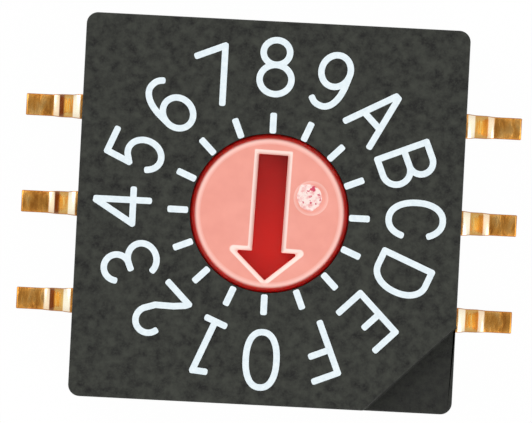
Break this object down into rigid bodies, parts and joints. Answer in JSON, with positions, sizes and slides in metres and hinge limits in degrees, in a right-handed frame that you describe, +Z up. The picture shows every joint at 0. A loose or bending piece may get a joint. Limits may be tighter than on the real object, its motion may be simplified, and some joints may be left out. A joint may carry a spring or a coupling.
{
  "type": "rotary switch",
  "caption": "Square surface-mount coded rotary switch: black housing with a hexadecimal dial, red rotor with an arrow slot, and gold gull-wing leads.",
  "frame": {"origin": "on the board's surface, under the middle of the body, in the plane of the six feet", "axes": "+Z up, out of the dial; +X to the dial's mark C; +Y to mark 8; the arrow rests on mark 0, at -Y"},
  "size_m": [0.013, 0.01, 0.0039],
  "materials": {
    "housing_plastic": "fine matt moulded grain",
    "base_plastic": "matt moulded",
    "rotor_plastic": "translucent red, frosted on top",
    "lead_gold": "gold plated, bright",
    "contact_gold": "gold plated, bright",
    "seal_rubber": "matt",
    "spring_steel": "rolled"
  },
  "bodies": {
    "switch_body": {"housing": "housing_plastic", "base": "base_plastic", "seal_ring": "seal_rubber", "detent_spring_front": "spring_steel", "detent_spring_rear": "spring_steel", "terminal_1": "lead_gold", "terminal_2": "lead_gold", "terminal_4": "lead_gold", "terminal_8": "lead_gold", "common_terminal": "lead_gold", "contact_spring_1": "contact_gold", "contact_spring_2": "contact_gold", "contact_spring_4": "contact_gold", "contact_spring_8": "contact_gold", "contact_spring_common_left": "contact_gold", "contact_spring_common_right": "contact_gold"},
    "rotor_body": {"rotor": "rotor_plastic", "code_disc": "contact_gold"}
  },
  "joints": [
    {"name": "rotor_turn", "type": "hinge", "parent": "switch_body", "child": "rotor_body", "pos_m": [0, 0, 0], "axis": [0, 0, 1], "continuous": true, "deforming": ["detent_spring_front", "detent_spring_rear"]}
  ]
}
